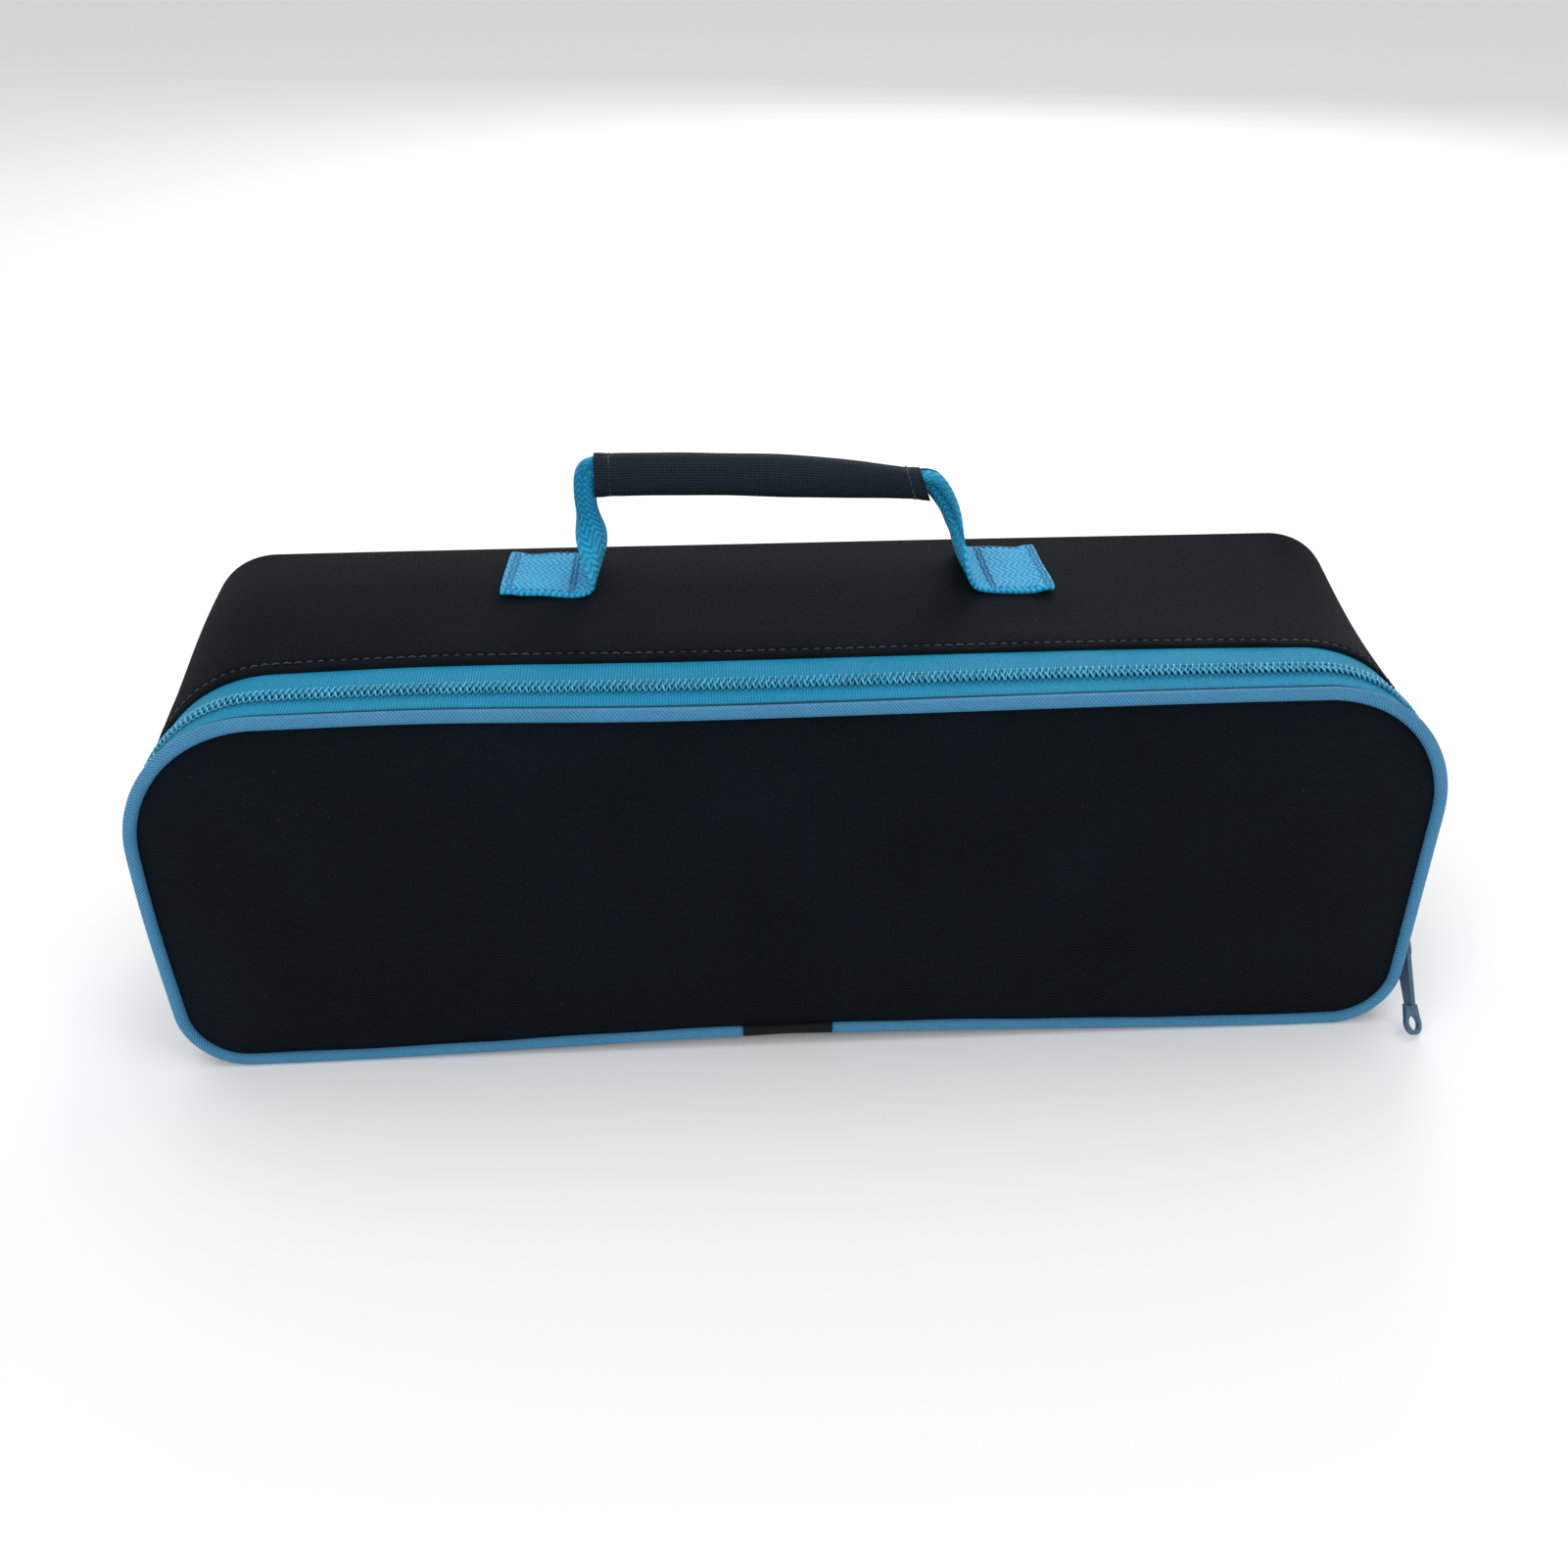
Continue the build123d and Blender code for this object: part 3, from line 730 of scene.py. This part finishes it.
def make_inside():
    """Linings over the padding and bindings on the raw seams."""
    for name, start, end, front, node in (
        ("wall_lining", ZIP_START, ZIP_END, ZIP_BACK + 1.5 * MM, "gusset_lining"),
        ("base_lining_cloth", ZIP_END - 9, ZIP_START, FRONT + 12 * MM, "base_lining"),
    ):
        section = lining_section(front)
        lining = band(name, start, end, section, lining_cloth, 3 * MM, wrinkle=lining_ripple)
        place_piece(lining, "bag_body", "lining_cloth", node, fill=0.3)
    far = level(BACK - 4.85 * MM)
    lining = panel("back_lining_cloth", 6.0 * MM, BACK_RADIUS, back_lining_face, far, lining_cloth, 90, 30)
    place_piece(lining, "bag_body", "lining_cloth", "back_lining", fill=0.3)

    angle = np.linspace(0, 2 * math.pi, 14, endpoint=False)
    for name, body, node in (
        ("lid_binding", "lid", "lid_seam_binding"),
        ("back_binding", "bag_body", "back_seam_binding"),
    ):
        low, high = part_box(node)
        y = (low.y + high.y) / 2 + (high.y - low.y) / 2 * squared(np.cos(angle), 0.6)
        inset = low.z + 1.3 * MM + 1.3 * MM * squared(np.sin(angle), 0.6)
        binding = band(name, 0.0, 9.0, list(zip(y, inset)), binding_cloth, 3 * MM, close_t=True)
        place_piece(binding, body, "binding_tape", node)


# ---------------------------------------------------------------- pieces: handle
def ribbon(name, path, fold, turn, width, flatten, side_up, edge):
    """Webbing along a path in the xz plane. fold rolls it across its width, flatten presses the roll
    and turn twists it. width is what shows: the rest of the webbing is tucked inside the roll.
    side_up is 1 where its edges roll over its upper face and -1 over its lower one. edge is a function
    that moves the points at the end."""
    lanes = 29
    wide = np.array([0.0, 1.0, 0.0])
    inner = side_up * np.cross(headings(path), wide)
    across = np.linspace(-0.5, 0.5, lanes)
    layers = []
    for offset in (-WEBBING_THICK / 2, WEBBING_THICK / 2):
        roll = np.maximum(fold, 1e-3)[:, None]
        press = flatten[:, None]
        radius = width[:, None] / roll
        angle = across[None, :] * roll
        deep = radius * (1 - np.cos(angle)) * press
        side = radius * np.sin(angle)
        nx, ny = -press * np.sin(angle), np.cos(angle)
        size = np.hypot(nx, ny)
        side = side + offset * nx / size
        deep = deep - offset * ny / size
        middle = (deep.max(1, keepdims=True) / 2) * (roll / (roll + 1))
        deep = deep - middle
        c, s = np.cos(turn)[:, None], np.sin(turn)[:, None]
        out_side = (side * c + deep * s)[..., None]
        out_deep = (-side * s + deep * c)[..., None]
        layers.append(path[:, None, :] + out_side * wide + out_deep * inner[:, None, :])
    points = edge(np.concatenate([layers[0], layers[1][:, ::-1]], 1))
    lane = np.concatenate([across, across[::-1]]) * width[0]
    nt, ns = points.shape[:2]
    faces = box_faces(nt, ns, close_s=True)
    for row in (0, nt - 1):
        for i in range(lanes - 1):
            first = row * ns
            faces.append([first + i, first + i + 1, first + ns - 2 - i, first + ns - 1 - i])
    uv = np.stack(np.broadcast_arrays(lengths(path)[:, None], lane[None, :]), -1)
    return add_mesh(name, points, faces, webbing_cloth, uv)


def spline(points, count):
    """Smooth path through a few points, evenly spaced."""
    p = np.asarray(points, float)
    p = np.vstack([2 * p[0] - p[1], p, 2 * p[-1] - p[-2]])
    out = []
    for i in range(1, len(p) - 2):
        f = np.linspace(0, 1, 40, endpoint=i == len(p) - 3)[:, None]
        a, b, c, d = p[i - 1], p[i], p[i + 1], p[i + 2]
        square, cube = 2 * a - 5 * b + 4 * c - d, 3 * b - a - 3 * c + d
        out.append(0.5 * (2 * b + (c - a) * f + square * f**2 + cube * f**3))
    dense = np.concatenate(out)
    run = lengths(dense)
    even = np.linspace(0, run[-1], count)
    return np.stack([np.interp(even, run, dense[:, k]) for k in range(p.shape[1])], -1)


def top_at(x, y):
    """Height of the crowned top under the webbing."""
    _, _, z = settle(np.asarray(x, float), np.asarray(y, float), np.asarray(FLAT_TOP, float))
    return z


def patch_relief(x, y, outer_x):
    """How the sewn end of the webbing stands up: a folded hem at its outer end and soft waves."""
    hem = 0.9 * MM * np.exp(-(((x - outer_x) / (5 * MM)) ** 4))
    return hem + 0.3 * MM * np.sin(x / 0.0043 + y / 0.008) + 0.3 * MM * np.sin(y / 0.0052)


def make_strap(name, outer_x, turn_x, rise, twist, press, side_up, nodes):
    """One end of the handle: sewn flat, then bent up and rolled towards the sleeve."""
    base = TOP + WEBBING_THICK / 2
    flat = [(outer_x, base), (0.5 * (outer_x + turn_x), base), (turn_x, base)]
    path = spline([(x, HANDLE_Y, z) for x, z in flat + rise], 110)
    height = path[:, 2].copy()
    path[:, 2] += (top_at(path[:, 0], path[:, 1]) - FLAT_TOP) * (1 - smooth((height - base) / (30 * MM)))
    up = smooth((height - (TOP + 3 * MM)) / (24 * MM))
    top = smooth((height - (TOP + 12 * MM)) / (20 * MM))
    fold = 0.3 * smooth((height - base) / (5 * MM)) + 4.9 * up
    width = WEBBING + (ROLL_WIDTH - WEBBING) * up
    flatten = press + (0.9 - press) * top

    def settle_edges(points):
        """The sewn part follows the crowned top and has its hem and waves."""
        x, y = points[..., 0], points[..., 1]
        low = 1 - smooth((points[..., 2] - (TOP + 7 * MM)) / (9 * MM))
        slope = top_at(x, y) - top_at(x, HANDLE_Y + 0 * y)
        lifted = points.copy()
        lifted[..., 2] += (slope + patch_relief(x, y, outer_x)) * low
        return lifted

    webbing = ribbon(name, path, fold, twist * top, width, flatten, side_up, settle_edges)
    subdivide = webbing.modifiers.new("round", "SUBSURF")
    subdivide.levels = subdivide.render_levels = 1
    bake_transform(webbing)
    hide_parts(*nodes)


def make_handle():
    """Webbing on both sides and its stitching."""
    left_turn, right_turn = anchor_high.x + 1.5 * MM, right_anchor_low.x + 2.0 * MM
    left_end, right_end = sleeve_low.x, sleeve_high.x
    rise_left = [
        (left_turn + 5.0 * MM, TOP + 3.4 * MM),
        (left_turn + 6.0 * MM, TOP + 11 * MM),
        (left_turn + 4.2 * MM, TOP + 20 * MM),
        (left_end - 3.0 * MM, TOP + 29 * MM),
        (left_end - 2.6 * MM, sleeve_high.z - 7.8 * MM),
        (left_end - 0.8 * MM, sleeve_high.z - 5.9 * MM),
        (left_end + 1.2 * MM, sleeve_high.z - 5.7 * MM),
    ]
    nodes = ("handle_anchor_left", "strap_left")
    twist = math.radians(35)
    make_strap("webbing_left", LEFT_PATCH[0], left_turn, rise_left, twist, 0.95, 1, nodes)
    rise_right = [
        (right_turn - 4.2 * MM, TOP + 3.4 * MM),
        (right_turn - 6.6 * MM, TOP + 10 * MM),
        (right_turn - 7.8 * MM, TOP + 18 * MM),
        (right_turn - 9.8 * MM, TOP + 25 * MM),
        (right_end + 3.4 * MM, sleeve_low.z + 5.4 * MM),
        (right_end + 0.8 * MM, sleeve_low.z + 6.9 * MM),
        (right_end - 1.6 * MM, sleeve_low.z + 7.0 * MM),
    ]
    nodes = ("handle_anchor_right", "strap_right")
    twist = math.radians(8)
    make_strap("webbing_right", RIGHT_PATCH[1], right_turn, rise_right, twist, 0.3, -1, nodes)

    centres, runs, ups = [], [], []
    for (low, high), outer in ((LEFT_PATCH, LEFT_PATCH[0]), (RIGHT_PATCH, RIGHT_PATCH[1])):
        spots = []
        for x in (low + 2.0 * MM, low + 3.3 * MM, high - 2.6 * MM, high - 1.3 * MM):
            for y in np.arange(anchor_low.y + 1.6 * MM, anchor_high.y - 1.0 * MM, 1.7 * MM):
                spots.append((x + 0.2 * MM * math.sin(y * 900), y, (0.0, 1.0, 0.0)))
        for y in (anchor_low.y + 1.9 * MM, anchor_high.y - 1.9 * MM):
            for x in np.arange(low + 4.9 * MM, high - 4.0 * MM, 2.2 * MM):
                spots.append((x, y, (1.0, 0.0, 0.0)))
        for x, y, run in spots:
            lift = float(top_at(x, y)) - FLAT_TOP + float(patch_relief(x, y, outer))
            centres.append((x, y, TOP + WEBBING_THICK + 0.02 * MM + lift))
            runs.append(run)
            ups.append((0.0, 0.0, 1.0))
    sewn = stitches("handle_stitching", centres, runs, ups, 1.5 * MM, 0.36 * MM, blue_thread)
    place_piece(sewn, "bag_body", "blue_thread", "anchor_stitching")


def sleeve_arch(share):
    """How far the grip bows up, or sags where it is negative, along its length."""
    return 1.5 * MM * (1 - (2 * share - 1) ** 2) - 0.9 * MM


def sleeve_half_height(share):
    """The sleeve is pressed flatter towards its right end."""
    return 6.2 * MM - 1.5 * MM * smooth((share - 0.55) / 0.45)


def sleeve_points(share, across, up):
    """Points of the sleeve's section at one place along it. Its right end is cut at a slant."""
    length = sleeve_high.x - sleeve_low.x
    slope = (sleeve_high.z - sleeve_low.z - 13.5 * MM) / length
    middle = (sleeve_low + sleeve_high) / 2
    along = (share - 0.5) * length
    slant = -0.35 * up * smooth((share - 0.8) / 0.2)
    z = middle.z + sleeve_arch(share) - along * slope + up
    return np.stack([middle.x + along + slant, middle.y + across, z], -1)


def make_sleeve():
    """Cloth sleeve round the grip: hems at its ends and a seam underneath."""
    length = sleeve_high.x - sleeve_low.x
    share = np.concatenate([[0, 0, 0.004, 0.02], np.linspace(0.045, 0.955, 56), [0.98, 0.996, 1.0, 1.0]])
    angle = np.linspace(0, 2 * math.pi, 40, endpoint=False)
    seam = 0.64 * MM * np.exp(-(((angle - 1.5 * math.pi) / 0.12) ** 2))
    rings = []
    for i, s in enumerate(share):
        along = (s - 0.5) * length
        from_end = min(s, 1 - s)
        hem = 0.15 * MM * math.exp(-(from_end / 0.035) ** 4)
        pinch = 0.15 * MM * math.exp(-((from_end - 0.05) / 0.012) ** 2)
        turned_in = 1.3 * MM if i in (0, len(share) - 1) else 0
        grow = hem - pinch - turned_in
        wobble = 0.12 * MM * math.sin(along / 0.009) + 0.1 * MM * math.sin(along / 0.0041 + 1)
        across = squared(np.cos(angle), 0.72) * (4.3 * MM + grow + wobble)
        up = squared(np.sin(angle), 0.8) * (sleeve_half_height(s) + grow + 0.4 * wobble) - seam
        rings.append(sleeve_points(s, across, up))
    sleeve = loft("sleeve", np.stack(rings), sleeve_cloth, share * length)
    place_piece(sleeve, "handle", "black_weave", "grip_sleeve", "grip_core", fill=0.9)

    angle = np.linspace(0, 2 * math.pi, 17, endpoint=False)
    cos, sin = np.cos(angle), np.sin(angle)
    centres, runs, ups = [], [], []
    for s in (0.045, 0.955):
        up = squared(sin, 0.8) * sleeve_half_height(s)
        centres.append(sleeve_points(s, squared(cos, 0.72) * 4.15 * MM, up))
        ups.append(np.stack([0 * cos, cos, sin], -1))
        runs.append(np.stack([0 * cos, -sin, cos], -1))
    row = (np.concatenate(values) for values in (centres, runs, ups))
    sewn = stitches("sleeve_stitching", *row, 1.8 * MM, 0.28 * MM, black_thread)
    place_piece(sewn, "handle", "black_thread")


def make_backing():
    """Two cloth patches inside, behind the handle's stitching."""
    low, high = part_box("handle_backing_patches")
    width, count = 32 * MM, 18
    points, faces, uv = [], [], []
    for left, right in ((low.x, low.x + width), (high.x - width, high.x)):
        across, deep = np.linspace(left, right, count), np.linspace(low.y, high.y, count)
        x, y = np.meshgrid(across, deep, indexing="ij")
        edge = np.minimum(np.minimum(x - left, right - x), np.minimum(y - low.y, high.y - y))
        faces += sandwich_faces(count, count, len(points) * count * count)
        under = low.z - 0.3 * MM + 0.5 * MM * np.exp(-edge / (2 * MM))
        for z in (under, 0 * x + low.z + 0.6 * MM):
            points.append(np.stack([x, y, z + top_at(x, y) - FLAT_TOP], -1))
            uv.append(np.stack([x, y], -1))
    patches = add_mesh("backing_cloth", np.stack(points), faces, binding_cloth, np.stack(uv))
    place_piece(patches, "bag_body", "binding_tape", "handle_backing_patches")


# ---------------------------------------------------------------- stage, lights and camera
def make_stage():
    """Pale floor, even surroundings and four soft lights."""
    mesh = bpy.data.meshes.new("floor")
    reach = 6.0
    corners = [(-reach, -reach, 0), (reach, -reach, 0), (reach, reach, 0), (-reach, reach, 0)]
    mesh.from_pydata(corners, [], [(0, 1, 2, 3)])
    floor = bpy.data.objects.new("floor", mesh)
    bpy.context.scene.collection.objects.link(floor)
    paper = Shading("floor_paper", (0.95, 0.95, 0.95), 0.8)
    mesh.materials.append(paper.material)
    world = bpy.data.worlds.new("studio")
    world.use_nodes = True
    world.node_tree.nodes["Background"].inputs["Color"].default_value = (1, 1, 1, 1)
    world.node_tree.nodes["Background"].inputs["Strength"].default_value = 0.68
    bpy.context.scene.world = world
    bpy.context.scene.view_settings.view_transform = "Standard"
    for name, place, size, power in (
        ("top", (-0.15, 0.1, 1.5), 1.4, 7),
        ("front_left", (-1.2, -1.4, 0.9), 0.9, 9),
        ("front_right", (1.3, -1.0, 0.8), 0.8, 5),
        ("behind", (0.4, 1.5, 0.9), 0.7, 9),
    ):
        light = bpy.data.lights.new(name, "AREA")
        light.size = size
        light.energy = power
        lamp = bpy.data.objects.new(name, light)
        lamp.location = place
        aim = Vector((0, 0, 0.07)) - Vector(place)
        lamp.rotation_euler = aim.to_track_quat("-Z", "Y").to_euler()
        bpy.context.scene.collection.objects.link(lamp)


def make_camera():
    """Camera in front of the bag, looking down on it."""
    data = bpy.data.cameras.new("camera")
    data.sensor_width = 36
    data.lens = 36.2
    data.shift_x = -0.0108
    data.shift_y = 0.061
    data.clip_start = 0.01
    camera = bpy.data.objects.new("camera", data)
    camera.location = (-0.0229, -0.4418, 0.3222)
    backward = Vector((-0.0497, -0.8267, 0.5605))
    camera.rotation_euler = backward.to_track_quat("Z", "Y").to_euler()
    bpy.context.scene.collection.objects.link(camera)
    bpy.context.scene.camera = camera


make_lid()
make_zip()
make_body()
make_inside()
make_handle()
make_sleeve()
make_backing()
for node, material in (
    ("slider_body", pull_enamel),
    ("pull_tab", pull_enamel),
    ("zip_end_stops", stop_plastic),
):
    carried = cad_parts[node]
    carried.data.materials.clear()
    carried.data.materials.append(material)
    bevel = carried.modifiers.new("worn_edge", "BEVEL")
    bevel.width = 0.12 * MM
    bevel.segments = 2
make_stage()
make_camera()
